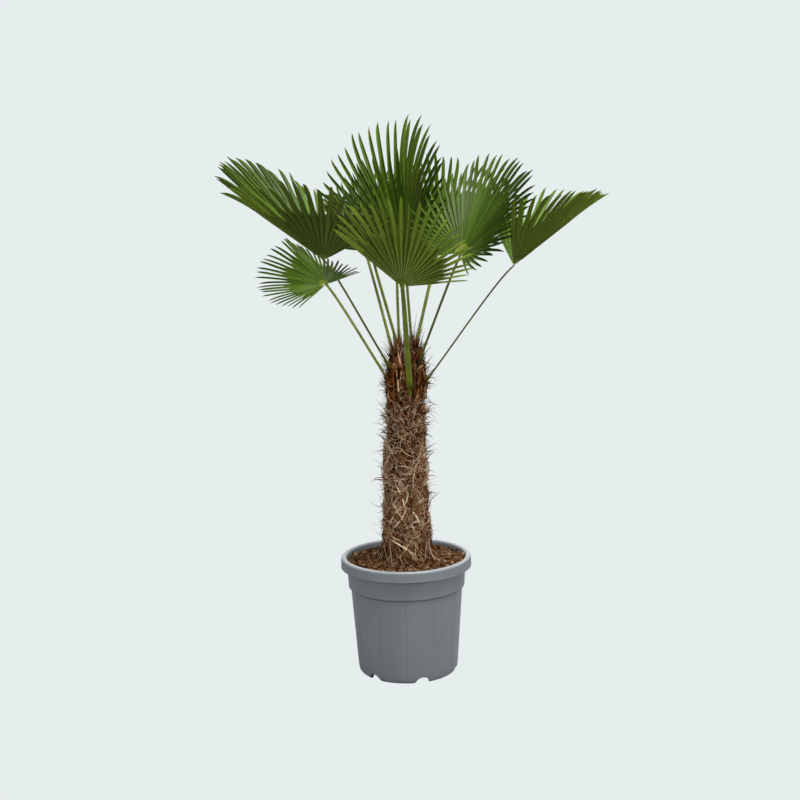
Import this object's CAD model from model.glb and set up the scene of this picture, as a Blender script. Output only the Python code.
"""Windmill palm (Trachycarpus) in a round grey nursery pot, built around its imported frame.

Every shape here is worked out from named sizes and seeded chance: pleated fan blades with their
fingers and ribs, toothed stalks, a trunk coated in matted fibre, loose coir soil and a moulded pot.
"""

import math

import bpy
import numpy as np
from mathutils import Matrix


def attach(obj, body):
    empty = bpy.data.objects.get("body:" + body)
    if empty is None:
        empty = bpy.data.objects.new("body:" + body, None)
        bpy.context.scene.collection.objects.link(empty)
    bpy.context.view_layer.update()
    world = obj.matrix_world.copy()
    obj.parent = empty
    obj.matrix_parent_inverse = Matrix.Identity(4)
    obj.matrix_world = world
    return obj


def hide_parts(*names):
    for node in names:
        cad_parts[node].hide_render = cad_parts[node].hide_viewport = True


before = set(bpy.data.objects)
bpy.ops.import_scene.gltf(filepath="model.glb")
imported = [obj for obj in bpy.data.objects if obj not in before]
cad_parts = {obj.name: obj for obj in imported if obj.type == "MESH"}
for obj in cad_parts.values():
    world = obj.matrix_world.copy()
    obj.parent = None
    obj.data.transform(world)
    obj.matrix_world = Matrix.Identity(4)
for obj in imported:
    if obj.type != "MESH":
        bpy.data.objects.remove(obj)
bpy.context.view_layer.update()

TAU = 2 * math.pi
FRONT = np.array((0.0, -1.0, 0.0))
UP = np.array((0.0, 0.0, 1.0))


# ================================================================ mesh building
class Soup:
    """Gathers points and faces for one mesh, with a material number on every face."""

    def __init__(self):
        self.points, self.faces, self.tones = [], {3: [], 4: []}, {3: [], 4: []}
        self.count = 0

    def add(self, points, faces, tone=0):
        points = np.array(points, float).reshape(-1, 3)
        faces = np.asarray(faces, int)
        if not len(faces):
            return
        sides = faces.shape[1]
        self.points.append(points)
        self.faces[sides].append(faces + self.count)
        self.tones[sides].append(np.broadcast_to(np.asarray(tone, int), (len(faces),)))
        self.count += len(points)

    def grid(self, points, tone=0, wrap=False):
        """points: (rows, columns, 3). wrap closes each row on itself."""
        rows, cols = points.shape[:2]
        index = np.arange(rows * cols).reshape(rows, cols)
        nxt = np.roll(index, -1, axis=1) if wrap else index[:, 1:]
        cur = index if wrap else index[:, :-1]
        quads = np.stack([cur[:-1], nxt[:-1], nxt[1:], cur[1:]], axis=-1).reshape(-1, 4)
        if np.ndim(tone) == 2:
            tone = np.asarray(tone).reshape(-1)
        self.add(points, quads, tone)

    def tubes(self, paths, radii, sides=3, tone=0, flat=1.0, ref=None, capped=True):
        """Many tubes at once. paths: (n, stations, 3), radii: (n, stations) or (stations,).
        flat squeezes each tube along its second axis, and ref leans its first axis."""
        paths = np.asarray(paths, float)
        n, stations = paths.shape[:2]
        radii = np.broadcast_to(radii, (n, stations))
        way = np.gradient(paths, axis=1)
        way /= np.linalg.norm(way, axis=2, keepdims=True) + 1e-12
        if ref is None:
            ref = np.tile(np.array((0.31, 0.17, 0.93)), (n, 1))
        ref = np.asarray(ref, float)
        if ref.ndim == 2:
            ref = np.repeat(ref[:, None, :], stations, axis=1)
        side = np.cross(way, ref)
        side /= np.linalg.norm(side, axis=2, keepdims=True) + 1e-12
        top = np.cross(side, way)
        turn = np.arange(sides) / sides * TAU
        ring = (side[:, :, None, :] * np.cos(turn)[None, None, :, None]
                + top[:, :, None, :] * (np.sin(turn) * flat)[None, None, :, None])
        points = paths[:, :, None, :] + ring * radii[:, :, None, None]
        index = np.arange(n * stations * sides).reshape(n, stations, sides)
        nxt = np.roll(index, -1, axis=2)
        quads = np.stack([index[:, :-1], nxt[:, :-1], nxt[:, 1:], index[:, 1:]], axis=-1)
        tone = np.broadcast_to(np.asarray(tone, int), (n,))
        base = self.count
        self.add(points, quads.reshape(-1, 4), np.repeat(tone, (stations - 1) * sides))
        if capped:
            fan = np.array([(0, k, k + 1) for k in range(1, sides - 1)])
            low, high = index[:, 0], index[:, -1]
            tris = np.concatenate([low[:, fan[:, ::-1]], high[:, fan]], axis=1).reshape(-1, 3)
            self.faces[3].append(tris + base)
            self.tones[3].append(np.repeat(tone, 2 * len(fan)))

    def triangles(self):
        return sum(len(f) for f in self.faces[3]) + 2 * sum(len(f) for f in self.faces[4])

    def build(self, name, materials, smooth=True, sharp=None):
        points = np.concatenate(self.points)
        loops, starts, tones, at = [], [], [], 0
        for sides in (3, 4):
            if not self.faces[sides]:
                continue
            faces = np.concatenate(self.faces[sides])
            loops.append(faces.ravel())
            starts.append(at + np.arange(len(faces)) * sides)
            tones.append(np.concatenate(self.tones[sides]))
            at += faces.size
        mesh = bpy.data.meshes.new(name)
        loops, starts, tones = (np.concatenate(v).astype(np.int32) for v in (loops, starts, tones))
        mesh.vertices.add(len(points))
        mesh.vertices.foreach_set("co", points.astype(np.float32).ravel())
        mesh.loops.add(len(loops))
        mesh.loops.foreach_set("vertex_index", loops)
        mesh.polygons.add(len(starts))
        mesh.polygons.foreach_set("loop_start", starts)
        for mat in materials:
            mesh.materials.append(mat)
        mesh.polygons.foreach_set("material_index", tones)
        mesh.polygons.foreach_set("use_smooth", np.full(len(starts), smooth))
        mesh.update(calc_edges=True)
        mesh.validate()
        if sharp is not None:
            mesh.set_sharp_from_angle(angle=math.radians(sharp))
        obj = bpy.data.objects.new(name, mesh)
        bpy.context.scene.collection.objects.link(obj)
        print("piece", name, self.triangles())
        return obj


def put(obj, slot, *nodes):
    """The piece rides on the plant's one body, takes its slot and stands for its CAD nodes."""
    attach(obj, "root")
    if nodes:
        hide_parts(*nodes)
    return obj


def unit(v):
    v = np.asarray(v, float)
    return v / (np.linalg.norm(v, axis=-1, keepdims=True) + 1e-12)


def smoothstep(x):
    x = np.clip(x, 0, 1)
    return x * x * (3 - 2 * x)


# ================================================================ materials
def srgb(*rgb):
    """Linear colour from the 0-255 values that a screen shows."""
    return tuple(((c / 255 + 0.055) / 1.055) ** 2.4 if c > 10 else c / 255 / 12.92 for c in rgb)


def finish(name, colour, roughness, specular=0.5, sheen=0.0, bump=None, vary=None, coat=0.0):
    """A Principled material. bump and vary are (size per metre, strength, stretch in x, y, z):
    one raises a fine grain, the other mottles the colour lighter and darker."""
    mat = bpy.data.materials.new(name)
    mat.use_nodes = True
    nodes, links = mat.node_tree.nodes, mat.node_tree.links
    shader = nodes["Principled BSDF"]
    shader.inputs["Base Color"].default_value = (*colour, 1)
    shader.inputs["Roughness"].default_value = roughness
    shader.inputs["Specular IOR Level"].default_value = specular
    if sheen:
        shader.inputs["Sheen Weight"].default_value = sheen
    if coat:
        shader.inputs["Coat Weight"].default_value = coat
    mat.diffuse_color = (*colour, 1)

    def noise(size, stretch, detail=4.0):
        coords = nodes.new("ShaderNodeTexCoord")
        scale = nodes.new("ShaderNodeMapping")
        scale.inputs["Scale"].default_value = stretch
        tex = nodes.new("ShaderNodeTexNoise")
        tex.inputs["Scale"].default_value = size
        tex.inputs["Detail"].default_value = detail
        links.new(coords.outputs["Object"], scale.inputs["Vector"])
        links.new(scale.outputs["Vector"], tex.inputs["Vector"])
        return tex

    if vary:
        size, strength, stretch = vary
        tex = noise(size, stretch)
        ramp = nodes.new("ShaderNodeValToRGB")
        ramp.color_ramp.elements[0].position = 0.32
        ramp.color_ramp.elements[1].position = 0.70
        ramp.color_ramp.elements[0].color = (*(c * (1 - strength) for c in colour), 1)
        ramp.color_ramp.elements[1].color = (*(c * (1 + strength) for c in colour), 1)
        links.new(tex.outputs["Fac"], ramp.inputs["Fac"])
        links.new(ramp.outputs["Color"], shader.inputs["Base Color"])
    if bump:
        size, strength, stretch = bump
        tex = noise(size, stretch)
        relief = nodes.new("ShaderNodeBump")
        relief.inputs["Strength"].default_value = strength
        relief.inputs["Distance"].default_value = 0.001
        links.new(tex.outputs["Fac"], relief.inputs["Height"])
        links.new(relief.outputs["Normal"], shader.inputs["Normal"])
    return mat


def shades(name, colour, amounts, roughness, **more):
    """The same material in several depths of colour, so that neighbours differ."""
    return [finish("%s_%d" % (name, k), tuple(c * a for c in colour), roughness, **more) for k, a in enumerate(amounts)]


# ================================================================ leaves
# name: hub (x, y, z), the blade's direction (degrees round from the front, degrees above level),
# roll, reach, shortening at the sides left and right, spread left and right, folds left and
# right as (at the midline, added towards the rear), power of the fold, stalk's start in the
# trunk, how far the stalk keeps its first and last direction, half width at its start
LEAVES = {
    "front": dict(hub=(0.0051, -0.4183, 1.2310), az=-41.12, el=65.69, roll=-13.38, reach=0.264, short=(0.48, 0.62),
                spread=(107, 77), fold_l=(16, 18), fold_r=(3, 76), power=4,
                foot=(0.0242, -0.0301, 0.8638), bend=(0.454, 0.010), stout=0.0115),
    "back_high": dict(hub=(-0.0064, 0.2358, 1.2765), az=154.48, el=83.37, roll=20.72, reach=0.418, short=(0.62, 0.47),
                    spread=(60, 94), fold_l=(15, 0), fold_r=(19, 0), power=2,
                    foot=(-0.0064, 0.0100, 0.9645), bend=(0.429, 0.102), stout=0.0068),
    "back_mid": dict(hub=(0.0180, 0.1539, 1.2634), az=-14.35, el=86.54, roll=-151.02, reach=0.328, short=(0.53, 0.53),
                   spread=(72, 94), fold_l=(21, -2), fold_r=(25, 2), power=2,
                   foot=(0.0341, 0.0118, 0.9665), bend=(0.284, 0.034), stout=0.0068),
    "left": dict(hub=(-0.2179, -0.1563, 1.2870), az=-44.63, el=31.65, roll=10.00, reach=0.414, short=(0.44, 0.44),
               spread=(82.8, 128.6), fold_l=(26, 5), fold_r=(28, 25), power=2,
               foot=(-0.0025, -0.0140, 0.8900), bend=(0.449, 0.046), stout=0.0068),
    "left_low": dict(hub=(-0.2379, 0.3715, 1.1677), az=-128.44, el=38.33, roll=9.88, reach=0.239, short=(0.40, 0.70),
                   spread=(111.1, 91), fold_l=(-29, 30), fold_r=(-25, 30), power=2,
                   foot=(-0.0189, 0.0060, 0.8700), bend=(0.399, 0.062), stout=0.0068),
    "right": dict(hub=(0.1756, -0.2193, 1.3041), az=103.71, el=60.93, roll=-14.01, reach=0.311, short=(0.53, 0.53),
                spread=(121.6, 109.8), fold_l=(6, 31), fold_r=(-3, 22), power=2,
                foot=(0.0334, -0.0102, 0.9196), bend=(0.389, 0.062), stout=0.0068),
    "right_far": dict(hub=(0.3155, -0.3114, 1.2715), az=94.53, el=37.60, roll=0.89, reach=0.320, short=(0.29, 0.29),
                    spread=(78, 74), fold_l=(15, 25), fold_r=(16, 25), power=2,
                    foot=(0.0429, -0.0062, 0.8676), bend=(0.412, 0.065), stout=0.0068),
    "back_left": dict(hub=(-0.1066, 0.5274, 1.2409), az=-157.76, el=50.73, roll=-11.65, reach=0.255, short=(0.42, 0.42),
                    spread=(80, 111), fold_l=(18, 20), fold_r=(12, 5), power=2,
                    foot=(-0.0130, 0.0120, 0.9400), bend=(0.342, 0.085), stout=0.0068),
    "back_left_high": dict(hub=(-0.0854, 0.2656, 1.2762), az=138.06, el=81.39, roll=-0.77, reach=0.264, short=(0.45, 0.45),
                         spread=(88.3, 60), fold_l=(10, 1), fold_r=(12, -2), power=2,
                         foot=(0.0005, 0.0250, 0.9620), bend=(0.538, 0.021), stout=0.0068),
    "back_right": dict(hub=(0.1304, 0.3191, 1.2890), az=143.00, el=52.71, roll=-20.11, reach=0.322, short=(0.47, 0.47),
                     spread=(103, 103), fold_l=(25, -4), fold_r=(20, 7), power=2,
                     foot=(0.0328, 0.0158, 0.9686), bend=(0.369, 0.049), stout=0.0068),
}


def leaf_axes(leaf):
    """Along the blade, up out of its upper side, and to its left as seen from the trunk."""
    az, el, roll = (math.radians(leaf[k]) for k in ("az", "el", "roll"))
    out = np.array((math.sin(az), -math.cos(az), 0.0))
    along = out * math.cos(el) + UP * math.sin(el)
    normal = UP * math.cos(el) - out * math.sin(el)
    left = np.cross(normal, along)
    normal = normal * math.cos(roll) + left * math.sin(roll)
    return along, normal, np.cross(normal, along)


BLADE_THICK = 0.0007
STATIONS = 22
ACROSS = np.array((-1.0, -0.5, 0.0, 0.5, 1.0))

# tones of a blade: upper side, underside, the pale heart at the stalk, dried tips
UPPER, UNDER, HEART, DRY = range(0, 4), range(4, 8), 8, 9


class HalfBlade:
    """The bent surface that one half of a fan lies in."""

    def __init__(self, leaf, sign):
        self.along, self.normal, self.left = leaf_axes(leaf)
        self.hub, self.sign, self.leaf = np.array(leaf["hub"]), sign, leaf
        self.spread = math.radians(leaf["spread"][0 if sign > 0 else 1])
        self.fold0, self.fold1 = leaf["fold_l" if sign > 0 else "fold_r"]
        self.short = leaf["short"][0 if sign > 0 else 1]

    def reach(self, theta):
        return self.leaf["reach"] * (1 - self.short * (np.degrees(theta) / 130) ** 2)

    def place(self, radius, theta, lift):
        share = np.clip(theta / self.spread, 0, 1.05)
        fold = np.radians(self.fold0 + self.fold1 * share ** self.leaf["power"])
        out = self.left * (self.sign * np.cos(fold))[..., None] + self.normal * np.sin(fold)[..., None]
        face = self.normal * np.cos(fold)[..., None] - self.left * (self.sign * np.sin(fold))[..., None]
        return (self.hub + self.along * (radius * np.cos(theta))[..., None]
                + out * (radius * np.sin(theta))[..., None] + face * lift[..., None])


def fan_half(soup, ribs, leaf, sign, rng, look):
    """One half of a fan: pleated segments, joined from the stalk to the splits, free beyond them."""
    half = HalfBlade(leaf, sign)
    count = max(10, int(round(math.degrees(half.spread) / look["pitch"])))
    pitch = half.spread / count
    reach0 = leaf["reach"]
    split = rng.uniform(0.49, 0.60, count + 1)
    split[1::2] += 0.035  # every second split is a little shallower
    split[-1] = 0.42

    def pleat(radius):
        """Steepness of the pleats, which open towards the stalk."""
        return np.tan(np.radians(27 + 14 * smoothstep(radius / (0.6 * reach0))))

    for i in range(count):
        mid = pitch * (i + 0.5)
        reach = float(half.reach(mid)) * (1 + 0.020 * rng.standard_normal())
        reach = min(reach, float(half.reach(mid)) * 1.03)
        s = np.linspace(0, 1, STATIONS)
        radius = 0.0095 + (reach - 0.0095) * s ** 0.92
        sides = []
        rs = [split[i] * reach, split[i + 1] * reach]
        last = max(rs)
        free = np.clip((radius - last) / (reach - last), 0, 1)
        lean = rng.normal(0, 0.011)
        droop = rng.normal(0.006, 0.005) * (reach / 0.3)
        twist = rng.normal(0, 0.12)
        hf = radius * pitch / 2 * pleat(radius)
        hf_last = last * pitch / 2 * float(pleat(np.array(last)))
        mid_lift = np.where(radius <= last, -0.5 * hf, -0.5 * hf_last * (1 - 0.4 * free)) - droop * free ** 2.2
        centre = mid + lean * free ** 1.5
        close = np.tan(np.radians(np.degrees(np.arctan(pleat(radius))) + 16 * free))
        for r_split in rs:
            gone = np.clip((radius - r_split) / (reach - r_split), 0, 1)
            w_split = r_split * pitch / 2
            wide = np.where(radius <= r_split, radius * pitch / 2, w_split * (1 - 0.22 * smoothstep(gone / 0.2)) * (1 - 0.26 * gone) * (1 - gone ** 7) ** 0.75)
            sides.append(np.maximum(wide, 0.00035))
        lifts, angles = [], []
        for u in ACROSS:
            wide = sides[0] if u < 0 else sides[1]
            r_split = rs[0] if u < 0 else rs[1]
            edge = np.where(radius <= r_split, 0.5 * hf, mid_lift + wide * close * (1 + twist * np.sign(u) * free))
            edge = np.where(radius <= r_split, np.maximum(edge, 0.5 * hf), edge)
            lifts.append(mid_lift + (edge - mid_lift) * (abs(u) ** 1.12))
            angles.append(centre + u * wide / radius)
        theta, lift = np.stack(angles, 1), np.stack(lifts, 1)
        rad = np.repeat(radius[:, None], len(ACROSS), axis=1)
        over = half.place(rad, theta, lift)
        below = half.place(rad, theta, lift - BLADE_THICK * (1 - 0.5 * s)[:, None])
        ring = np.concatenate([over, below[:, ::-1]], axis=1)
        if sign < 0:
            ring = ring[:, ::-1]
        # tones: around the ring the first four strips are one side, then an edge, then the other
        tone_u = look["upper"][rng.integers(len(look["upper"]))]
        tone_l = look["under"][rng.integers(len(look["under"]))]
        strip = np.array([tone_u] * 4 + [tone_u] + [tone_l] * 4 + [tone_l])
        if sign < 0:
            strip = np.array([tone_l] * 4 + [tone_u] + [tone_u] * 4 + [tone_l])
        tones = np.tile(strip, (STATIONS - 1, 1))
        tones[radius[:-1] < 0.017] = HEART
        if rng.random() < look["dry"]:
            tones[-int(rng.integers(1, 3)):] = DRY
        soup.grid(ring, tones, wrap=True)
        # closed ends
        k = ring.shape[1]
        caps = [(a, a + 1, k - 2 - a, k - 1 - a) for a in range(k // 2 - 1)]
        soup.add(ring[0], np.array(caps)[:, ::-1], HEART)
        soup.add(ring[-1], np.array(caps), tones[-1][0])
        # the rib under the segment
        pick = slice(1, STATIONS - 1)
        path = half.place(radius[pick], centre[pick], mid_lift[pick] - BLADE_THICK - 0.0002)
        ribs.tubes(path[None], 0.00095 * (1 - 0.72 * s[pick]) * look["rib"], sides=4, tone=look["rib_tone"])
    return half


def stalk_path(leaf, t):
    along = leaf_axes(leaf)[0]
    hub, foot = np.array(leaf["hub"]), np.array(leaf["foot"])
    way = hub - foot
    ctrl = (foot, foot + way * leaf["bend"][0], hub - along * leaf["bend"][1], hub)
    t = np.asarray(t)[:, None]
    u = 1 - t
    point = ctrl[0] * u ** 3 + ctrl[1] * 3 * u * u * t + ctrl[2] * 3 * u * t * t + ctrl[3] * t ** 3
    way_on = unit((ctrl[1] - ctrl[0]) * u * u + (ctrl[2] - ctrl[1]) * 2 * u * t + (ctrl[3] - ctrl[2]) * t * t)
    return point, way_on


def stalk(leaf, rng):
    """A stalk, rounded below and nearly flat above, with fine teeth along both edges, and the crest where the blade starts."""
    soup = Soup()
    along, normal, left = leaf_axes(leaf)
    hub = np.array(leaf["hub"])
    t = np.linspace(0.02, 1.0, 44)
    centre, way_on = stalk_path(leaf, t)
    side = unit(left - way_on * (way_on @ left)[:, None])
    top = np.cross(way_on, side)
    stout = leaf["stout"]
    wide = stout + (0.0064 - stout) * np.minimum(1, t / 0.8)
    thick = 0.62 * stout + (0.0038 - 0.62 * stout) * np.minimum(1, t / 0.8)
    slim = 0.88 if stout > 0.01 else 0.76  # the newest leaf's stalk is the stoutest
    wide, thick = wide * slim, thick * slim
    near = smoothstep((t - 0.955) / 0.045)
    wide, thick = wide + 0.0034 * near, thick - 0.0008 * near
    sides = 16
    turn = (np.arange(sides) + 0.5) / sides * TAU
    c, s = np.cos(turn), np.sin(turn)
    high = np.where(s > 0, 0.62 * s - 0.22 * np.exp(-(c / 0.45) ** 2) * (s > 0), s)
    ring = (centre[:, None] + side[:, None] * (wide[:, None, None] * c[None, :, None])
            + top[:, None] * (thick[:, None, None] * high[None, :, None]))
    tone = np.full((len(t) - 1, sides), 0 if stout > 0.01 else 4)
    tone[:, [sides - 1, sides // 2 - 1]] = 1  # the edges are paler
    tone[t[:-1] < 0.05] = 2
    soup.grid(ring, tone, wrap=True)
    for k in (0, -1):
        soup.add(ring[k], np.array([(0, a, a + 1) for a in range(1, sides - 1)])[:, ::(1 if k else -1)], 1)
    # teeth
    spots = np.sort(rng.uniform(0.10, 0.90, 58))
    for sign in (1, -1):
        at, on = stalk_path(leaf, spots + rng.normal(0, 0.004, len(spots)))
        sd = unit(left - on * (on @ left)[:, None])
        w = (stout + (0.0064 - stout) * np.minimum(1, spots / 0.8)) * slim
        root = at + sd * (sign * (w * 0.93))[:, None]
        tip = root + sd * (sign * rng.uniform(0.0010, 0.0022, len(spots)))[:, None] + on * rng.uniform(0.0002, 0.0012, len(spots))[:, None]
        soup.tubes(np.stack([root, (root * 0.45 + tip * 0.55), tip], 1), np.array((0.00085, 0.0005, 0.00012)), sides=4, tone=3)
    # the crest: a small rounded flap that stands on the blade's upper side
    a = np.linspace(-1, 1, 13)
    reach = 0.0070 * np.sqrt(np.maximum(0, 1 - (a * 0.97) ** 2)) + 0.0010
    foot = hub + left * (a * 0.0080)[:, None] + normal * 0.0006
    lip = foot + along * reach[:, None] + normal * (0.0030 * (1 - a * a) + 0.0006)[:, None]
    mid = (foot + lip) / 2 + normal * 0.0012
    sheet = np.stack([foot, mid, lip], 0)
    low = sheet - normal * 0.0008
    shell = np.concatenate([sheet, low[::-1]], axis=0)
    soup.grid(np.concatenate([shell, shell[:1]], axis=0), 1)
    return soup


def leaf_looks():
    """Which tones each leaf takes, how pale its ribs are and how many fingers have a dried tip."""
    fresh, deep, bright = (0, 1, 1, 2), (0, 0, 1), (1, 2, 2, 3)
    u = lambda picks: [UNDER[p] for p in picks]
    base = dict(upper=deep, under=u((0, 1)), rib=1.0, rib_tone=0, dry=0.01, pitch=5.2)
    looks = {name: dict(base) for name in LEAVES}
    looks["front"].update(upper=fresh, under=u((1, 2, 3, 3)), rib=1.25, rib_tone=1, dry=0.02, pitch=6.3)
    looks["left"].update(upper=fresh, under=u((1, 1, 2)), dry=0.0)
    looks["left_low"].update(upper=(0, 1, 2), under=u((0, 1, 2)))
    looks["right"].update(upper=(0, 0, 1), under=u((0, 0, 1)))
    looks["right_far"].update(upper=(2, 3, 3), under=u((2, 3)))
    looks["back_high"].update(upper=bright, under=u((1, 2, 2)))
    for name in ("back_mid", "back_left_high"):
        looks[name].update(upper=fresh, under=u((1, 1, 2)))
    return looks


BLADE_MATERIALS = (
    shades("blade_upper", (0.060, 0.112, 0.0085), (0.58, 0.80, 1.0, 1.25), 0.42, specular=0.09)
    + shades("blade_under", (0.090, 0.132, 0.0110), (0.55, 0.82, 1.10, 1.42), 0.50, specular=0.08)
    + [finish("blade_heart", (0.125, 0.165, 0.018), 0.50, specular=0.1), finish("blade_dry_tip", (0.190, 0.150, 0.060), 0.75, specular=0.1)]
)
RIB_MATERIALS = [finish("rib_green", (0.120, 0.170, 0.022), 0.5, specular=0.15), finish("rib_pale", (0.235, 0.300, 0.070), 0.5, specular=0.2)]
STALK_MATERIALS = [
    finish("stalk_green", (0.160, 0.205, 0.018), 0.42, specular=0.12, vary=(9, 0.25, (1, 1, 3))),
    finish("stalk_edge", (0.105, 0.140, 0.016), 0.45, specular=0.12),
    finish("stalk_foot", (0.100, 0.085, 0.025), 0.75, specular=0.1, vary=(40, 0.4, (1, 1, 0.3))),
    finish("stalk_tooth", (0.070, 0.045, 0.016), 0.6, specular=0.1),
    finish("stalk_deep", (0.094, 0.128, 0.017), 0.45, specular=0.1, vary=(9, 0.25, (1, 1, 3))),
]


def make_leaves():
    looks = leaf_looks()
    ribs = Soup()
    for k, (title, leaf) in enumerate(LEAVES.items()):
        rng = np.random.default_rng(9100 + 17 * k)
        soup = Soup()
        for sign in (1, -1):
            fan_half(soup, ribs, leaf, sign, rng, looks[title])
        blade = soup.build("fan_" + title, BLADE_MATERIALS, sharp=62)
        put(blade, "frond", "frond_%s_l" % title, "frond_%s_r" % title)
        stem = stalk(leaf, rng).build("stem_" + title, STALK_MATERIALS, sharp=50)
        put(stem, "stalk", "stalk_" + title)
    put(ribs.build("fan_ribs", RIB_MATERIALS), "frond")


# ================================================================ trunk
TRUNK_FOOT, TRUNK_TOP, TRUNK_LEAN = 0.3548, 1.0205, 0.0224
TRUNK_SHARE = (0.00, 0.03, 0.12, 0.235, 0.34, 0.47, 0.55, 0.62, 0.715, 0.80, 0.88, 0.95, 1.00)
TRUNK_RADIUS = (0.0810, 0.0790, 0.0760, 0.0705, 0.0652, 0.0648, 0.0618, 0.0585, 0.0590, 0.0600, 0.0535, 0.0440, 0.0330)
BOOTS = 74  # old sheath bases, one every golden angle up the trunk
GOLDEN = math.radians(137.508)


def waves(rng, count, around, upward, falloff=1.0):
    """A smooth random relief that closes on itself round the trunk, as a sum of waves."""
    m = np.round(rng.uniform(around[0], around[1], count))
    k = rng.uniform(upward[0], upward[1], count) * rng.choice((-1, 1), count)
    size = np.hypot(m / 0.062, k)
    amp = size ** -falloff
    amp /= np.sqrt((amp ** 2).sum() / 2)
    phase = rng.uniform(0, TAU, count)

    def at(angle, height):
        total = np.zeros(np.broadcast(angle, height).shape)
        for a, mm, kk, p in zip(amp, m, k, phase):
            total = total + a * np.cos(mm * angle + kk * height + p)
        return total
    return at


RELIEF_RNG = np.random.default_rng(412)
BROAD = waves(RELIEF_RNG, 14, (1, 7), (8, 70))
MIDDLE = waves(RELIEF_RNG, 26, (6, 26), (60, 420), 0.6)
FINE = waves(RELIEF_RNG, 34, (18, 62), (120, 1400), 0.4)


def boots():
    """Angle, height and size of each old sheath base."""
    rng = np.random.default_rng(77)
    out = []
    for k in range(BOOTS):
        share = (k + 0.5) / BOOTS
        height = TRUNK_FOOT + 0.012 + share * (TRUNK_TOP - TRUNK_FOOT - 0.10)
        out.append((k * GOLDEN + rng.normal(0, 0.10), height + rng.normal(0, 0.004), rng.uniform(0.85, 1.2)))
    return out


BOOT_LIST = boots()


def bare_radius(angle, height):
    """The trunk's own round, as the frame has it."""
    share = (height - TRUNK_FOOT) / (TRUNK_TOP - TRUNK_FOOT)
    radius = np.interp(share, TRUNK_SHARE, TRUNK_RADIUS)
    turn = 9.0 * height
    fade = np.clip((height - TRUNK_FOOT) / 0.06, 0, 1)
    return radius * (1 + fade * (0.030 * np.sin(3 * angle + turn) + 0.018 * np.sin(5 * angle - 1.6 * turn)))


def boot_relief(angle, height):
    """Overlapping wedges: each stands furthest out at its upper edge."""
    total = np.zeros(np.broadcast(angle, height).shape)
    for a0, z0, size in BOOT_LIST:
        x = (np.mod(angle - a0 + math.pi, TAU) - math.pi) * 0.062
        y = height - z0
        tall, wide = 0.050 * size, 0.036 * size
        up = np.clip(y / tall, -0.4, 1)
        half = wide * (1 - np.clip(up, 0, 1) ** 1.6)
        inside = smoothstep((half - np.abs(x)) / 0.006) * smoothstep((up + 0.4) / 0.5) * (y < tall)
        total = np.maximum(total, inside * (0.0012 + 0.0048 * np.clip(up, 0, 1)))
    return total


def surface(angle, height):
    """Radius of the fibre coat's dense core."""
    base = bare_radius(angle, height) - 0.0095
    return base + boot_relief(angle, height) + 0.0016 * BROAD(angle, height) + 0.0011 * MIDDLE(angle, height) + 0.0005 * FINE(angle, height)


def coat_radius(angle, height):
    """A cheaper form of the same radius for the strands that lie on it."""
    return bare_radius(angle, height) - 0.0095 + boot_relief(angle, height) + 0.0016 * BROAD(angle, height)


def on_trunk(angle, height, lift):
    radius = coat_radius(angle, height) + lift
    return np.stack([radius * np.sin(angle), -radius * np.cos(angle), height], axis=-1)


def lean(soup):
    """Tips what has been gathered so far with the trunk, which leans a little to the right."""
    for points in soup.points:
        points[:, 0] += TRUNK_LEAN * (points[:, 2] - 0.3645)
    return soup


def outward(angle):
    return np.stack([np.sin(angle), -np.cos(angle), np.zeros_like(angle)], axis=-1)


def sideways(angle):
    return np.stack([np.cos(angle), np.sin(angle), np.zeros_like(angle)], axis=-1)


FIBRE_MATERIALS = [
    finish("fibre_dark", srgb(40, 18, 3), 0.92, specular=0.03),
    finish("fibre_brown", srgb(94, 58, 30), 0.90, specular=0.03),
    finish("fibre_red", srgb(146, 92, 52), 0.88, specular=0.03),
    finish("fibre_tan", srgb(208, 170, 132), 0.85, specular=0.04),
    finish("fibre_straw", srgb(243, 220, 190), 0.82, specular=0.04),
    finish("fibre_grey", srgb(172, 144, 118), 0.90, specular=0.04),
    finish("fibre_paper", srgb(120, 88, 58), 0.92, specular=0.03, vary=(260, 0.22, (1, 1, 4))),
]
DARK, BROWN, RED, TAN, STRAW, GREY, PAPER = range(7)
CORE_MATERIAL = finish("fibre_core", srgb(38, 19, 5), 0.95, specular=0.03, vary=(120, 0.45, (1, 1, 0.35)), bump=(900, 0.7, (1, 1, 0.3)))


def trunk_core():
    soup = Soup()
    around, tall = 144, 240
    angle = np.arange(around) / around * TAU
    height = np.linspace(TRUNK_FOOT - 0.012, TRUNK_TOP, tall)
    a, z = np.meshgrid(angle, height)
    radius = surface(a, z)
    top = smoothstep((TRUNK_TOP - z) / 0.05)
    radius = radius * (0.35 + 0.65 * top)
    ring = np.stack([radius * np.sin(a), -radius * np.cos(a), z], axis=-1)
    soup.grid(ring, 0, wrap=True)
    cap = np.array([(0, k, k + 1) for k in range(1, around - 1)])
    soup.add(ring[0], cap[:, ::-1], 0)
    soup.add(ring[-1], cap, 0)
    put(lean(soup).build("trunk_core", [CORE_MATERIAL]), "trunk_fibre", "trunk")


def wander(rng, n, stations, length, lean, curl, heights, lift, hump):
    """Paths that wander over the coat. lean is the angle off upright, curl how much it turns on the way."""
    angle = rng.uniform(0, TAU, n)
    height = rng.uniform(heights[0], heights[1], n)
    step = length / (stations - 1)
    heading = lean.copy()
    bend = curl / (stations - 1)
    points = []
    s = np.linspace(0, 1, stations)
    for j in range(stations):
        up = lift + hump * math.sin(math.pi * s[j])
        z = np.clip(height, TRUNK_FOOT - 0.004, TRUNK_TOP - 0.01)
        points.append(on_trunk(angle, z, up))
        angle = angle + step * np.sin(heading) / 0.062
        height = height + step * np.cos(heading)
        heading = heading + bend
    return np.stack(points, axis=1)


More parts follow.
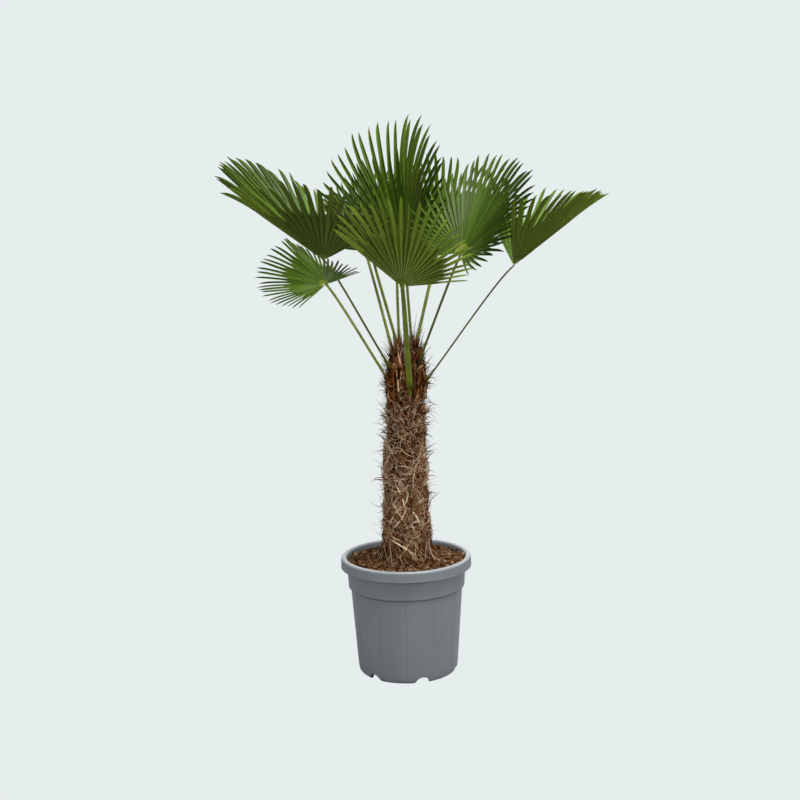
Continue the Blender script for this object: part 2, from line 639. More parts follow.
def trunk_mat():
    """The matted coat: thousands of strands that cross each other on the slant, and loose curls over them."""
    rng = np.random.default_rng(5150)
    dark = Soup()
    n = 5000
    lie = rng.choice((-1, 1), n) * np.radians(rng.normal(52, 24, n))
    paths = wander(rng, n, 6, rng.uniform(0.022, 0.070, n), lie, rng.normal(0, 0.9, n), (TRUNK_FOOT, TRUNK_TOP - 0.05),
                   rng.uniform(-0.0006, 0.0026, n), rng.uniform(0, 0.0024, n))
    tone = rng.choice((DARK, BROWN, RED, TAN), n, p=(0.38, 0.30, 0.20, 0.12))
    dark.tubes(paths, rng.uniform(0.0004, 0.0008, n)[:, None] * np.array((0.5, 1, 1, 1, 0.9, 0.4)), 3, tone, capped=False)
    put(lean(dark).build("trunk_mat", FIBRE_MATERIALS), "trunk_fibre")

    pale = Soup()
    n = 2300
    lie = rng.choice((-1, 1), n) * np.radians(rng.normal(44, 30, n))
    paths = wander(rng, n, 8, rng.uniform(0.025, 0.085, n), lie, rng.normal(0, 1.5, n), (TRUNK_FOOT + 0.01, TRUNK_TOP - 0.05),
                   rng.uniform(0.0006, 0.0032, n), rng.uniform(0, 0.0045, n))
    high = (paths[:, 0, 2] - TRUNK_FOOT) / (TRUNK_TOP - TRUNK_FOOT)
    pick = rng.random(n) + 0.10 * (high - 0.5)
    tone = np.select([pick < 0.22, pick < 0.44, pick < 0.55, pick < 0.80], [BROWN, RED, GREY, TAN], STRAW)
    taper = np.sin(np.linspace(0.25, math.pi - 0.2, 8)) ** 0.6
    pale.tubes(paths, rng.uniform(0.0007, 0.0017, n)[:, None] * taper, 3, tone, flat=0.7)
    # curls and loops that lift off the coat
    n = 620
    lie = rng.uniform(0, TAU, n)
    paths = wander(rng, n, 12, rng.uniform(0.028, 0.075, n), lie, rng.choice((-1, 1), n) * rng.uniform(1.0, 3.6, n),
                   (TRUNK_FOOT + 0.08, TRUNK_TOP - 0.10), rng.uniform(0.001, 0.004, n), rng.uniform(0.001, 0.009, n))
    tone = rng.choice((RED, TAN, STRAW, GREY), n, p=(0.20, 0.30, 0.34, 0.16))
    taper = np.sin(np.linspace(0.25, math.pi - 0.2, 12)) ** 0.5
    pale.tubes(paths, rng.uniform(0.0007, 0.0014, n)[:, None] * taper, 3, tone, flat=0.8)
    # wide pale loops that stand off half way up
    n = 90
    lie = rng.uniform(0, TAU, n)
    paths = wander(rng, n, 14, rng.uniform(0.045, 0.090, n), lie, rng.choice((-1, 1), n) * rng.uniform(1.0, 2.6, n),
                   (0.590, 0.735), rng.uniform(0.002, 0.005, n), rng.uniform(0.004, 0.016, n))
    tone = rng.choice((RED, TAN, STRAW, GREY), n, p=(0.14, 0.30, 0.40, 0.16))
    taper = np.sin(np.linspace(0.25, math.pi - 0.2, 14)) ** 0.5
    pale.tubes(paths, rng.uniform(0.0007, 0.0014, n)[:, None] * taper, 4, tone, flat=0.7)
    put(lean(pale).build("trunk_strands", FIBRE_MATERIALS), "trunk_fibre")


def ribbons(soup, paths, width, ref, tone, thick=0.0007):
    """Flat straps: width and ref (the direction out of their face) come for every station."""
    way = np.gradient(paths, axis=1)
    way /= np.linalg.norm(way, axis=2, keepdims=True) + 1e-12
    side = np.cross(way, ref)
    side /= np.linalg.norm(side, axis=2, keepdims=True) + 1e-12
    face = np.cross(side, way)
    n, stations = paths.shape[:2]
    half = (width / 2)[..., None]
    ring = np.stack([paths - side * half, paths + face * (thick * 0.6), paths + side * half, paths - face * thick * 0.6], axis=2)
    index = np.arange(n * stations * 4).reshape(n, stations, 4)
    nxt = np.roll(index, -1, axis=2)
    quads = np.stack([index[:, :-1], nxt[:, :-1], nxt[:, 1:], index[:, 1:]], axis=-1).reshape(-1, 4)
    tone = np.broadcast_to(np.asarray(tone, int), (n,))
    soup.add(ring, quads, np.repeat(tone, (stations - 1) * 4))


def trunk_straps():
    """Flat strips of old sheath: slanting ones, papery triangular bases with pale crossed edges low down, flaps round the top."""
    rng = np.random.default_rng(880)
    soup = Soup()
    n, stations = 300, 8
    lie = rng.choice((-1, 1), n) * np.radians(rng.normal(34, 18, n))
    paths = wander(rng, n, stations, rng.uniform(0.035, 0.095, n), lie, rng.normal(0, 0.6, n), (TRUNK_FOOT + 0.01, TRUNK_TOP - 0.10),
                   rng.uniform(0.0008, 0.0026, n), rng.uniform(0, 0.003, n))
    angle = np.arctan2(paths[..., 0], -paths[..., 1])
    taper = np.sin(np.linspace(0.35, math.pi - 0.12, stations)) ** 0.7
    ribbons(soup, paths, rng.uniform(0.0016, 0.0046, n)[:, None] * taper, outward(angle), rng.choice((BROWN, RED, TAN, GREY), n, p=(0.26, 0.30, 0.30, 0.14)))
    for a0, z0, size in BOOT_LIST:
        low = z0 < 0.64
        s = np.linspace(0, 1, 9)
        if low or rng.random() < 0.4:
            # the papery base itself: a flat triangle that narrows upward and stands off at its tip
            twist = rng.normal(0, 0.05)
            height = np.minimum(z0 - 0.014 + 0.052 * size * s, TRUNK_TOP - 0.035)
            path = on_trunk(a0 + twist * s, height, (0.0028 if low else 0.0012) + 0.0048 * s ** 1.5)[None]
            width = (0.040 * size * (1 - s) ** 0.85 + 0.0022)[None]
            ribbons(soup, path, width, outward(a0 + twist * s)[None], PAPER if low else rng.choice((BROWN, RED, PAPER)), thick=0.0009)
        if not low and rng.random() < 0.6:
            continue
        for way in (-1, 1):
            reach = rng.uniform(0.9, 1.3) * size
            angle = a0 + way * (0.030 * size * (1 - s) ** 0.9) / 0.062 - way * 0.16 * s ** 1.5
            height = z0 - 0.018 + 0.066 * reach * s
            path = on_trunk(angle, np.minimum(height, TRUNK_TOP - 0.04), 0.0026 + 0.0040 * s ** 2)[None]
            width = (0.0038 * size * np.sin(np.linspace(0.5, math.pi - 0.25, 9)) ** 0.7)[None] * rng.uniform(0.6, 1.25)
            ribbons(soup, path, width, outward(angle)[None], rng.choice((RED, TAN, STRAW), p=(0.2, 0.4, 0.4)), thick=0.0010)
    # the broad pale straps that cross on the front of the lower trunk: across and up, at both ends
    for x0, z0, x1, z1, wide in ((-0.030, 0.600, -0.005, 0.529, 0.0062), (0.013, 0.523, 0.040, 0.470, 0.0052), (0.001, 0.523, -0.035, 0.465, 0.0046),
                                 (0.006, 0.584, -0.004, 0.537, 0.0046), (-0.040, 0.429, 0.035, 0.374, 0.0056)):
        s = np.linspace(0, 1, 9)
        x, height = x0 + (x1 - x0) * s + 0.003 * np.sin(math.pi * s), z0 + (z1 - z0) * s
        angle = np.arcsin(x / (bare_radius(0.0, height) - 0.004))
        path = on_trunk(angle, height, 0.0068)[None]
        ribbons(soup, path, (wide * np.sin(np.linspace(0.45, math.pi - 0.2, 9)) ** 0.6)[None], outward(angle)[None], STRAW, thick=0.0012)
    put(lean(soup).build("trunk_straps", FIBRE_MATERIALS), "trunk_fibre")


def trunk_claws():
    """Stiff curved points at the top of each old base, and finer hairs, standing out all round."""
    rng = np.random.default_rng(31)
    soup = Soup()
    roots, tips, bows, sizes, tones = [], [], [], [], []
    for a0, z0, size in BOOT_LIST:
        if z0 < TRUNK_FOOT + 0.05:
            continue
        for k in range(int(rng.integers(3, 7))):
            angle = a0 + rng.normal(0, 0.30)
            height = z0 + 0.030 * size + rng.normal(0, 0.012)
            out, side = outward(np.array(angle)), sideways(np.array(angle))
            root = on_trunk(np.array(angle), np.array(min(height, TRUNK_TOP - 0.03)), 0.001)
            long = rng.gamma(6, 0.0045)
            rise = rng.normal(0.25, 0.55)
            tip = root + out * long * rng.uniform(0.55, 1.0) + UP * long * rise + side * long * rng.normal(0, 0.45)
            bow = root + out * long * rng.uniform(0.35, 0.6) + UP * long * (rise * 0.5 - rng.uniform(-0.25, 0.45))
            roots.append(root), tips.append(tip), bows.append(bow)
            sizes.append(rng.uniform(0.0009, 0.0021))
            tones.append(rng.choice((DARK, BROWN, RED, TAN), p=(0.25, 0.35, 0.22, 0.18)))
    # stiffer hooks in tufts, most of them on the upper half, that rise outward and turn down at the tip
    for k in range(170):
        a0, z0 = k * GOLDEN * 1.7 + rng.normal(0, 0.3), rng.uniform(0.52, 0.965) if k % 2 else rng.uniform(0.74, 0.96)
        for _ in range(int(rng.integers(2, 6))):
            angle, height = np.array(a0 + rng.normal(0, 0.14)), np.array(z0 + rng.normal(0, 0.008))
            out, side = outward(angle), sideways(angle)
            root = on_trunk(angle, height, 0.001)
            long, rise = rng.gamma(7, 0.0046), rng.normal(0.30, 0.36)
            tip = root + out * long * rng.uniform(0.6, 1.0) + UP * long * (rise - rng.uniform(0, 0.25)) + side * long * rng.normal(0, 0.25)
            bow = root + out * long * rng.uniform(0.45, 0.80) + UP * long * (rise + rng.uniform(0.0, 0.45))
            roots.append(root), tips.append(tip), bows.append(bow)
            sizes.append(rng.uniform(0.0014, 0.0030))
            tones.append(rng.choice((DARK, BROWN, RED, TAN), p=(0.30, 0.30, 0.20, 0.20)))
    roots, tips, bows = (np.array(v) for v in (roots, tips, bows))
    s = np.linspace(0, 1, 8)[None, :, None]
    paths = roots[:, None] * (1 - s) ** 2 + bows[:, None] * 2 * s * (1 - s) + tips[:, None] * s * s
    taper = np.array((1.25, 1.1, 0.95, 0.8, 0.62, 0.45, 0.28, 0.10))
    soup.tubes(paths, np.array(sizes)[:, None] * taper, 4, tones, flat=0.5)
    # finer hairs
    n = 1250
    angle, height = rng.uniform(0, TAU, n), rng.uniform(TRUNK_FOOT + 0.03, TRUNK_TOP - 0.05, n)
    root = on_trunk(angle, height, 0.0)
    long = rng.gamma(4, 0.0042, n)[:, None]
    out, side = outward(angle), sideways(angle)
    tip = root + out * long * rng.uniform(0.3, 1.0, (n, 1)) + UP * long * rng.normal(0.1, 0.6, (n, 1)) + side * long * rng.normal(0, 0.6, (n, 1))
    bow = root + out * long * rng.uniform(0.4, 0.8, (n, 1)) + UP * long * rng.normal(0.1, 0.35, (n, 1)) + side * long * rng.normal(0, 0.4, (n, 1))
    s = np.linspace(0, 1, 7)[None, :, None]
    paths = root[:, None] * (1 - s) ** 2 + bow[:, None] * 2 * s * (1 - s) + tip[:, None] * s * s
    taper = np.array((1, 1, 0.9, 0.8, 0.6, 0.4, 0.2))
    soup.tubes(paths, rng.uniform(0.0003, 0.0007, n)[:, None] * taper, 3, rng.choice((DARK, BROWN, RED, TAN, STRAW), n, p=(0.22, 0.3, 0.2, 0.18, 0.10)))
    put(lean(soup).build("trunk_hairs", FIBRE_MATERIALS), "trunk_fibre")


def trunk_crown():
    """Sheaths and upright fibres that wrap the feet of the stalks at the trunk's top."""
    rng = np.random.default_rng(64)
    soup = Soup()
    # broad papery sheath strips that climb from the shoulder
    n, stations = 150, 9
    angle = rng.uniform(0, TAU, n)
    start = rng.uniform(0.840, 0.950, n)
    tall = rng.uniform(0.050, 0.105, n)
    s = np.linspace(0, 1, stations)
    a = angle[:, None] + rng.normal(0, 0.22, n)[:, None] * s
    z = start[:, None] + tall[:, None] * s
    radius = np.where(z < TRUNK_TOP, bare_radius(a, np.minimum(z, TRUNK_TOP)), 0.033)
    radius = np.maximum(radius, 0.030) + 0.002 + (rng.uniform(-0.004, 0.010, n)[:, None]) * s ** 2
    paths = np.stack([radius * np.sin(a), -radius * np.cos(a), z], axis=-1)
    width = rng.uniform(0.004, 0.012, n)[:, None] * (1 - 0.9 * s ** 1.8)
    ribbons(soup, paths, width, outward(a), rng.choice((DARK, BROWN, RED, TAN), n, p=(0.30, 0.34, 0.26, 0.10)), thick=0.0009)
    # upright fibres
    n = 950
    angle = rng.uniform(0, TAU, n)
    inner = rng.uniform(0.35, 1.0, n) ** 0.7
    start = rng.uniform(0.865, 1.010, n)
    tall = rng.gamma(5, 0.0085, n)
    s = np.linspace(0, 1, 7)
    a = angle[:, None] + rng.normal(0, 0.16, n)[:, None] * s
    z = start[:, None] + tall[:, None] * s
    radius = bare_radius(angle, np.minimum(start, TRUNK_TOP)) * inner
    radius = radius[:, None] + (rng.normal(0.06, 0.16, n) * tall)[:, None] * s ** 1.5
    paths = np.stack([radius * np.sin(a), -radius * np.cos(a), z], axis=-1)
    taper = np.array((1, 1, 0.95, 0.85, 0.7, 0.45, 0.15))
    soup.tubes(paths, rng.uniform(0.0004, 0.0011, n)[:, None] * taper, 3, rng.choice((DARK, BROWN, RED, GREY), n, p=(0.42, 0.33, 0.13, 0.12)))
    # pointed flaps that stand off round the top
    n, stations = 210, 7
    angle, start, tall = rng.uniform(0, TAU, n), rng.uniform(0.850, 0.990, n), rng.uniform(0.020, 0.056, n)
    s = np.linspace(0, 1, stations)
    a = angle[:, None] + rng.normal(0, 0.12, n)[:, None] * s
    z = start[:, None] + tall[:, None] * s
    radius = bare_radius(angle, start)[:, None] - 0.005 + (tall * rng.uniform(0.10, 0.75, n))[:, None] * s ** 1.4
    paths = np.stack([radius * np.sin(a), -radius * np.cos(a), z], axis=-1)
    ribbons(soup, paths, rng.uniform(0.005, 0.013, n)[:, None] * (1 - s ** 1.5) + 0.0006, outward(a), rng.choice((DARK, BROWN, RED, PAPER), n, p=(0.18, 0.30, 0.36, 0.16)), thick=0.0009)
    # one long reddish strip down the front, beside the front leaf's stalk
    s = np.linspace(0, 1, 14)
    a = 0.13 + 0.10 * np.sin(2.2 * s) - 0.16 * s
    z = 0.985 - 0.125 * s
    path = on_trunk(a, z, 0.006 + 0.003 * np.sin(3 * s))[None]
    ribbons(soup, path, (0.0125 * np.sin(np.linspace(0.45, math.pi - 0.3, 14)) ** 0.5)[None], outward(a)[None], RED, thick=0.0012)
    lean(soup)
    # a sheath round each stalk's foot
    for k, leaf in enumerate(LEAVES.values()):
        t = np.linspace(0.0, 0.24, 10)
        centre, way_on = stalk_path(leaf, t)
        along_it = np.linalg.norm(np.diff(centre, axis=0), axis=1).sum() / 0.24
        left = leaf_axes(leaf)[2]
        side = unit(left - way_on * (way_on @ left)[:, None])
        top = np.cross(way_on, side)
        m = 70
        turn = rng.uniform(0, TAU, m)
        begin, long = rng.uniform(0.0, 0.022, m) / along_it, rng.uniform(0.035, 0.078, m) / along_it
        for j in range(m):
            tt = begin[j] + long[j] * np.linspace(0, 1, 6)
            c = np.stack([np.interp(tt, t, centre[:, d]) for d in range(3)], 1)
            sd = np.stack([np.interp(tt, t, side[:, d]) for d in range(3)], 1)
            tp = np.stack([np.interp(tt, t, top[:, d]) for d in range(3)], 1)
            stand = 1.04 + 0.5 * np.linspace(0, 1, 6) ** 2 * rng.uniform(0, 1)
            path = c + sd * (leaf["stout"] * math.cos(turn[j]) * stand)[:, None] + tp * (leaf["stout"] * 0.65 * math.sin(turn[j]) * stand)[:, None]
            soup.tubes(path[None], rng.uniform(0.0005, 0.0013) * np.array((1, 1, 0.9, 0.7, 0.45, 0.12)), 3, int(rng.choice((DARK, BROWN, RED, GREY), p=(0.42, 0.34, 0.14, 0.10))))
    put(soup.build("trunk_crown", FIBRE_MATERIALS), "trunk_fibre")


def front_stalk_foot():
    """The front leaf's stalk runs on down the face of the trunk as a narrowing green strip."""
    soup = Soup()
    s = np.linspace(0, 1, 12)
    angle, height = 0.15 + 0.03 * s, 0.925 - 0.056 * s
    path = on_trunk(angle, height, 0.0135 - 0.0060 * s)[None]
    ribbons(soup, path, (0.016 - 0.007 * s)[None], outward(angle)[None], 0, thick=0.0030)
    put(lean(soup).build("stem_front_foot", STALK_MATERIALS), "stalk")


def trunk_skirt():
    """Fibres that splay over the soil at the trunk's foot."""
    rng = np.random.default_rng(19)
    soup = Soup()
    n = 900
    angle = rng.uniform(0, TAU, n)
    start = TRUNK_FOOT + rng.uniform(0.010, 0.075, n)
    base = bare_radius(angle, start) - 0.002
    away = rng.gamma(3, 0.0045, n)
    s = np.linspace(0, 1, 7)
    a = angle[:, None] + rng.normal(0, 0.35, n)[:, None] * s
    radius = base[:, None] + away[:, None] * s ** 1.6
    low = SOIL_TOP + 0.003 + rng.uniform(0, 0.006, n)
    z = start[:, None] + (low - start)[:, None] * (1 - (1 - s) ** 1.5)
    paths = np.stack([radius * np.sin(a), -radius * np.cos(a), z], axis=-1)
    taper = np.array((0.6, 1, 1, 1, 0.9, 0.7, 0.3))
    soup.tubes(paths, rng.uniform(0.0004, 0.0012, n)[:, None] * taper, 3, rng.choice((DARK, BROWN, RED, TAN, STRAW), n, p=(0.2, 0.32, 0.22, 0.18, 0.08)))
    put(lean(soup).build("trunk_skirt", FIBRE_MATERIALS), "trunk_fibre")


# ================================================================ soil
SOIL_TOP, SOIL_EDGE, SOIL_R = 0.3545, 0.3475, 0.1800
SOIL_MATERIALS = [
    finish("soil_dark", srgb(50, 29, 12), 0.96, specular=0.04),
    finish("soil_brown", srgb(92, 62, 38), 0.95, specular=0.04),
    finish("soil_red", srgb(114, 80, 50), 0.94, specular=0.04),
    finish("soil_tan", srgb(142, 112, 82), 0.92, specular=0.06),
    finish("soil_straw", srgb(180, 156, 124), 0.90, specular=0.06),
    finish("soil_bed", srgb(52, 30, 14), 0.97, specular=0.03, vary=(150, 0.5, (1, 1, 1)), bump=(700, 0.8, (1, 1, 1))),
]


def soil_height(x, y):
    radius = np.hypot(x, y)
    lie = np.interp(radius, (0, 0.094, 0.135, 0.172, 0.182), (SOIL_TOP, SOIL_TOP, SOIL_EDGE + 0.004, SOIL_EDGE, SOIL_EDGE - 0.001))
    bumps = sum(0.0011 * np.cos(f * x + g * y + p) for f, g, p in ((60, 35, 1), (-48, 70, 2), (110, -62, 4), (140, 120, 0.5), (-210, 160, 3), (250, 40, 5)))
    return lie + bumps * smoothstep((0.180 - radius) / 0.01)


def potting_soil():
    soup = Soup()
    rng = np.random.default_rng(2024)
    rings, around = 46, 150
    r = np.linspace(0.055, SOIL_R, rings)
    a = np.arange(around) / around * TAU
    rr, aa = np.meshgrid(r, a, indexing="ij")
    x, y = rr * np.sin(aa), -rr * np.cos(aa)
    z = soil_height(x, y) + 0.0009 * rng.standard_normal(x.shape)
    soup.grid(np.stack([x, y, z], -1), 5, wrap=True)
    edge = np.stack([x[-1], y[-1], np.full(around, SOIL_EDGE - 0.008)], -1)
    soup.grid(np.stack([np.stack([x[-1], y[-1], z[-1]], -1), edge]), 5, wrap=True)
    put(soup.build("soil_bed", SOIL_MATERIALS), "soil", "potting_soil")

    # chips of bark and husk, each a squashed lump with six to eight corners
    bits = Soup()
    n = 5200
    radius = np.sqrt(rng.uniform(0.068 ** 2, 0.1765 ** 2, n))
    angle = rng.uniform(0, TAU, n)
    x, y = radius * np.sin(angle), -radius * np.cos(angle)
    centre = np.stack([x, y, soil_height(x, y) + rng.uniform(-0.0005, 0.0022, n)], -1)
    size = rng.gamma(4, 0.00052, n)
    corners = np.array([(sx, sy, sz) for sz in (-1, 1) for sy in (-1, 1) for sx in (-1, 1)], float)
    corners[:, :2] *= np.where(corners[:, 2:] > 0, 0.72, 1.0)
    shape = corners[None] * (1 + rng.normal(0, 0.24, (n, 8, 3)))
    shape *= np.stack([size * rng.uniform(1.0, 2.6, n), size, size * rng.uniform(0.3, 0.7, n)], -1)[:, None]
    turn, tip, roll = rng.uniform(0, TAU, n), rng.normal(0, 0.45, n), rng.normal(0, 0.45, n)
    ct, st, cp, sp, cr, sr = np.cos(turn), np.sin(turn), np.cos(tip), np.sin(tip), np.cos(roll), np.sin(roll)
    px, py, pz = shape[..., 0], shape[..., 1], shape[..., 2]
    py, pz = py * cr[:, None] - pz * sr[:, None], py * sr[:, None] + pz * cr[:, None]
    px, pz = px * cp[:, None] + pz * sp[:, None], -px * sp[:, None] + pz * cp[:, None]
    px, py = px * ct[:, None] - py * st[:, None], px * st[:, None] + py * ct[:, None]
    points = np.stack([px, py, pz], -1) + centre[:, None]
    box = np.array([(0, 2, 3, 1), (4, 5, 7, 6), (0, 1, 5, 4), (2, 6, 7, 3), (0, 4, 6, 2), (1, 3, 7, 5)])
    faces = (np.arange(n) * 8)[:, None, None] + box[None]
    tone = rng.choice(5, n, p=(0.30, 0.34, 0.20, 0.11, 0.05))
    bits.add(points, faces.reshape(-1, 4), np.repeat(tone, 6))
    put(bits.build("soil_chips", SOIL_MATERIALS, smooth=False), "soil")

    # husk fibres and straws lying about
    straws = Soup()
    n = 2400
    radius = np.sqrt(rng.uniform(0.074 ** 2, 0.170 ** 2, n))
    angle, way = rng.uniform(0, TAU, n), rng.uniform(0, TAU, n)
    long, bend = rng.gamma(3, 0.0058, n), rng.normal(0, 1.6, n)
    x, y = radius * np.sin(angle), -radius * np.cos(angle)
    points = []
    for j in range(6):
        keep = np.minimum(1, 0.175 / np.hypot(x, y))
        x, y = x * keep, y * keep
        points.append(np.stack([x, y, soil_height(x, y) + 0.0020 + 0.0012 * math.sin(j * 0.63)], -1))
        x, y = x + np.cos(way) * long / 5, y + np.sin(way) * long / 5
        way = way + bend / 5
    straws.tubes(np.stack(points, 1), rng.gamma(3, 0.00018, n)[:, None] * np.array((0.7, 1, 1, 1, 0.9, 0.5)), 3,
                 rng.choice((0, 1, 2, 3, 4), n, p=(0.15, 0.25, 0.24, 0.22, 0.14)))
    put(straws.build("soil_straws", SOIL_MATERIALS), "soil")


# ================================================================ pot
def pot():
    """A moulded nursery pot: rolled rim, stepped collar, soft upright flutes, drainage notches round its foot."""
    height, rim, lip = 0.3645, 0.200, 0.033
    collar, ledge, step = 0.1812, 0.1785, 0.2715
    body_top, body_foot, foot = 0.1712, 0.1542, 0.1395
    wall, floor = 0.0032, 0.0186  # the underside is recessed inside the ring that it stands on
    lip_foot = height - lip
    base = floor - 0.0036
    profile = [(0, base), (0.06, base), (0.11, base), (foot - 0.0084, base), (foot - 0.0066, base - 0.0022), (foot - 0.0054, 0.0012),
               (foot - 0.0046, 0.0), (foot - 0.0008, 0.0), (foot, 0.0004), (foot + 0.0045, 0.0018), (foot + 0.0085, 0.0048),
               (foot + 0.0118, 0.0090), (body_foot - 0.0014, 0.0160), (body_foot, 0.0280)]
    for s in np.linspace(0.06, 1, 20):
        profile.append((body_foot + (body_top - body_foot) * s, 0.0280 + (step - 0.0085 - 0.0280) * s))
    profile += [(body_top - 0.0002, step - 0.0058), (body_top - 0.0026, step - 0.0042), (body_top - 0.0028, step - 0.0012), (body_top + 0.0004, step - 0.0005),
                (ledge - 0.0012, step - 0.0004), (ledge - 0.0003, step + 0.0001), (ledge, step + 0.0010)]
    for s in np.linspace(0.15, 1, 6):
        profile.append((ledge + (collar - ledge) * s, step + 0.0010 + (lip_foot - 0.0074 - step) * s))
    profile += [(collar - 0.0008, lip_foot - 0.0056), (collar - 0.0036, lip_foot - 0.0050), (collar - 0.0040, lip_foot - 0.0012), (collar - 0.0020, lip_foot - 0.0005), (rim - 0.0040, lip_foot),
                (rim - 0.0012, lip_foot + 0.0002), (rim + 0.0001, lip_foot + 0.0010), (rim + 0.0005, lip_foot + 0.0026), (rim, lip_foot + 0.0044)]
    for s in np.linspace(0.25, 1, 4):
        profile.append((rim - 0.0006 * s, lip_foot + 0.0044 + (height - 0.0078 - lip_foot - 0.0044) * s))
    for k in range(1, 9):  # the roll over the top
        turn = math.pi * 0.5 * k / 8
        profile.append((rim - 0.0076 + 0.0070 * math.cos(turn), height - 0.0078 + 0.0078 * math.sin(turn)))
    profile += [(rim - 0.0115, height - 0.0001), (rim - 0.0145, height - 0.0010), (rim - 0.0166, height - 0.0038), (rim - 0.0178, height - 0.0080),
                (rim - 0.0186, height - 0.0160), (collar - wall - 0.0030, lip_foot + 0.002), (collar - wall - 0.0030, lip_foot - 0.010),
                (ledge - wall - 0.0020, step + 0.010), (body_top - wall - 0.0024, step - 0.0012)]
    for s in np.linspace(0.8, 0, 5):
        profile.append((body_foot - wall + (body_top - body_foot) * s, 0.0340 + (step - 0.014 - 0.0340) * s))
    profile += [(foot + 0.0060, 0.0240), (foot - 0.0010, floor), (0.06, floor), (0, floor)]
    profile = np.array(profile)
    sides = 360
    angle = np.arange(sides) / sides * TAU

    soup = Soup()
    inner = profile[1:-1]
    r, a = np.meshgrid(inner[:, 0], angle, indexing="ij")
    z = np.repeat(inner[:, 1][:, None], sides, axis=1)
    # upright flutes on the body: narrow channels every 30 degrees, from the ledge nearly to the foot
    body = smoothstep((z - 0.012) / 0.020) * smoothstep((step - 0.0040 - z) / 0.0040) * (r > body_foot - 0.002)
    flute = np.mod(np.degrees(a) + 15 + 3.0, 30) - 15
    channel = np.clip(1.25 - np.abs(flute) / 1.6, 0, 1)
    r = r - body * 0.0021 * channel
    ring = np.stack([r * np.sin(a), -r * np.cos(a), z], -1)
    middle = (inner[1:] + inner[:-1]) / 2
    worn = (middle[:, 1] > height - 0.0040) & (middle[:, 0] < rim - 0.0010) & (middle[:, 0] > rim - 0.0168)
    soup.grid(ring, np.repeat(worn.astype(int)[:, None], sides, axis=1), wrap=True)
    for row, height_, flip in ((ring[0], profile[0, 1], True), (ring[-1], profile[-1, 1], False)):
        points = np.concatenate([row, [(0, 0, height_)]])
        fan = np.array([(k, (k + 1) % sides, sides) for k in range(sides)])
        soup.add(points, fan[:, ::-1] if flip else fan, 0)
    material = finish("pot_grey", srgb(121, 128, 134), 0.42, specular=0.5, vary=(14, 0.05, (1, 1, 0.5)), bump=(1500, 0.08, (1, 1, 1)))
    top = finish("pot_rim_worn", srgb(158, 164, 169), 0.36, specular=0.5, vary=(14, 0.05, (1, 1, 0.5)), bump=(1500, 0.08, (1, 1, 1)))
    obj = soup.build("nursery_pot", [material, top], sharp=32)
    weld(obj)
    for k in range(6):
        cut = notch_cutter(16.5 + 60 * k)
        boolean = obj.modifiers.new("notch_%d" % k, "BOOLEAN")
        boolean.operation, boolean.solver, boolean.object = "DIFFERENCE", "EXACT", cut
    settle(obj)
    put(obj, "pot", "pot")


def weld(obj):
    import bmesh
    bm = bmesh.new()
    bm.from_mesh(obj.data)
    bmesh.ops.remove_doubles(bm, verts=bm.verts, dist=1e-6)
    bmesh.ops.recalc_face_normals(bm, faces=bm.faces)
    bm.to_mesh(obj.data)
    bm.free()


def notch_cutter(degrees):
    """A round bar laid along the pot's radius, its axis just under the foot."""
    import bmesh
    from mathutils import Matrix
    bm = bmesh.new()
    bmesh.ops.create_cone(bm, cap_ends=True, segments=48, radius1=0.0240, radius2=0.0240, depth=0.060)
    place = (Matrix.Rotation(math.radians(degrees), 4, "Z") @ Matrix.Translation((0, -0.148, -0.0030))
             @ Matrix.Rotation(math.radians(90), 4, "X"))
    bmesh.ops.transform(bm, matrix=place, verts=bm.verts)
    mesh = bpy.data.meshes.new("notch_cutter")
    bm.to_mesh(mesh)
    bm.free()
    obj = bpy.data.objects.new("notch_cutter", mesh)
    bpy.context.scene.collection.objects.link(obj)
    return obj


def settle(obj):
    """Applies the modifiers and drops the cutters."""
    graph = bpy.context.evaluated_depsgraph_get()
    mesh = bpy.data.meshes.new_from_object(obj.evaluated_get(graph))
    cutters = [m.object for m in obj.modifiers]
    obj.modifiers.clear()
    obj.data = mesh
    mesh.set_sharp_from_angle(angle=math.radians(32))
    for cutter in cutters:
        bpy.data.objects.remove(cutter, do_unlink=True)


# ================================================================ stage, light and camera
PALE = srgb(230, 237, 237)


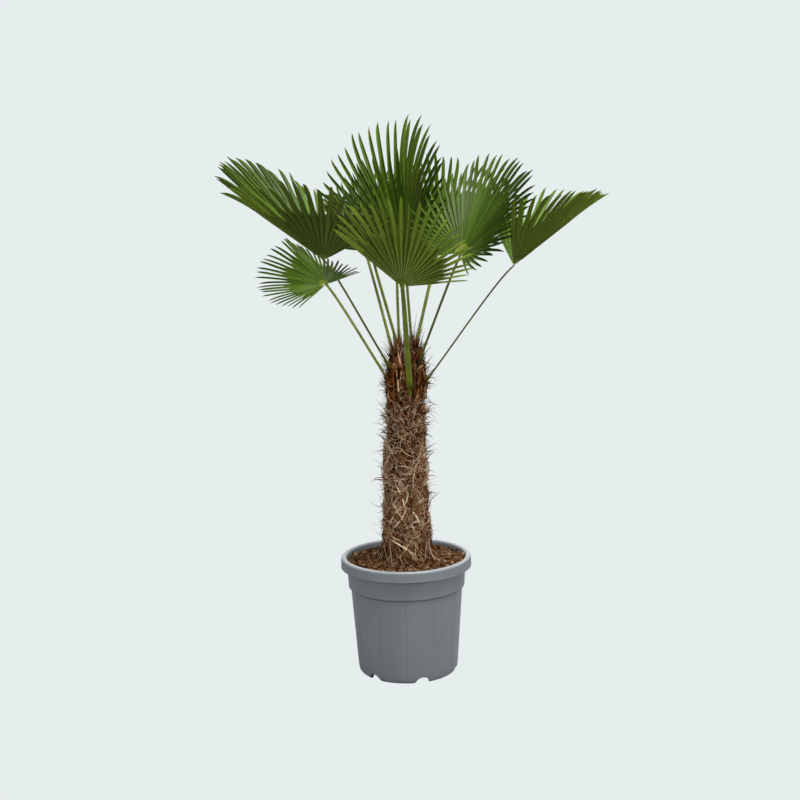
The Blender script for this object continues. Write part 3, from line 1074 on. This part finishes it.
def stage():
    """A plain pale floor and surround of one colour, and soft light from above and a little from the right."""
    mesh = bpy.data.meshes.new("studio_floor")
    mesh.from_pydata([(-40, -40, -0.0005), (40, -40, -0.0005), (40, 40, -0.0005), (-40, 40, -0.0005)], [], [(0, 1, 2, 3)])
    floor = bpy.data.objects.new("studio_floor", mesh)
    bpy.context.scene.collection.objects.link(floor)
    mat = bpy.data.materials.new("studio_floor")
    mat.use_nodes = True
    nodes, links = mat.node_tree.nodes, mat.node_tree.links
    nodes.clear()
    out, mix = nodes.new("ShaderNodeOutputMaterial"), nodes.new("ShaderNodeMixShader")
    path, glow, plain = nodes.new("ShaderNodeLightPath"), nodes.new("ShaderNodeEmission"), nodes.new("ShaderNodeBsdfDiffuse")
    glow.inputs["Color"].default_value = (*PALE, 1)
    plain.inputs["Color"].default_value = (0.42, 0.43, 0.43, 1)
    links.new(path.outputs["Is Camera Ray"], mix.inputs["Fac"])
    links.new(plain.outputs["BSDF"], mix.inputs[1])
    links.new(glow.outputs["Emission"], mix.inputs[2])
    links.new(mix.outputs["Shader"], out.inputs["Surface"])
    mesh.materials.append(mat)

    world = bpy.data.worlds.new("studio")
    bpy.context.scene.world = world
    world.use_nodes = True
    nodes, links = world.node_tree.nodes, world.node_tree.links
    nodes.clear()
    out, mix = nodes.new("ShaderNodeOutputWorld"), nodes.new("ShaderNodeMixShader")
    path, seen, light = nodes.new("ShaderNodeLightPath"), nodes.new("ShaderNodeBackground"), nodes.new("ShaderNodeBackground")
    seen.inputs["Color"].default_value = (*PALE, 1)
    light.inputs["Color"].default_value = (0.95, 0.98, 1.0, 1)
    light.inputs["Strength"].default_value = 0.27
    either = nodes.new("ShaderNodeMath")
    either.operation = "MAXIMUM"
    links.new(path.outputs["Is Camera Ray"], either.inputs[0])
    links.new(path.outputs["Is Glossy Ray"], either.inputs[1])
    links.new(either.outputs["Value"], mix.inputs["Fac"])
    links.new(light.outputs["Background"], mix.inputs[1])
    links.new(seen.outputs["Background"], mix.inputs[2])
    links.new(mix.outputs["Shader"], out.inputs["Surface"])

    def area(name, at, aim, size, watts, colour=(1, 1, 1)):
        data = bpy.data.lights.new(name, "AREA")
        data.energy, data.size, data.color = watts, size, colour
        lamp = bpy.data.objects.new(name, data)
        bpy.context.scene.collection.objects.link(lamp)
        lamp.location = at
        lamp.visible_camera = False
        way = np.array(aim, float) - np.array(at, float)
        from mathutils import Vector
        lamp.rotation_euler = Vector(way).to_track_quat("-Z", "Y").to_euler()

    area("soft_above", (0.5, -0.9, 4.2), (0, 0, 0.9), 2.6, 245, (1.0, 0.985, 0.95))
    area("soft_right", (3.4, -2.6, 2.4), (0, 0, 0.8), 2.4, 46)
    area("soft_left", (-3.2, -3.0, 1.8), (0, 0, 0.8), 2.6, 26)
    area("soft_behind", (0.0, 3.6, 1.5), (0, 0, 0.5), 3.4, 22)


def camera():
    data = bpy.data.cameras.new("camera")
    cam = bpy.data.objects.new("camera", data)
    bpy.context.scene.collection.objects.link(cam)
    cam.rotation_mode = "ZYX"
    cam.location = (-0.0077, -4.5, 1.6245)
    cam.rotation_euler = (math.radians(80.2), 0, math.radians(-1.3))
    data.sensor_width = 36
    data.lens = 1511 / 800 * 36
    data.clip_start, data.clip_end = 0.05, 200
    bpy.context.scene.camera = cam
    bpy.context.scene.view_settings.view_transform = "Standard"


make_leaves()
trunk_core()
trunk_mat()
trunk_straps()
trunk_claws()
trunk_crown()
front_stalk_foot()
trunk_skirt()
potting_soil()
pot()
stage()
camera()
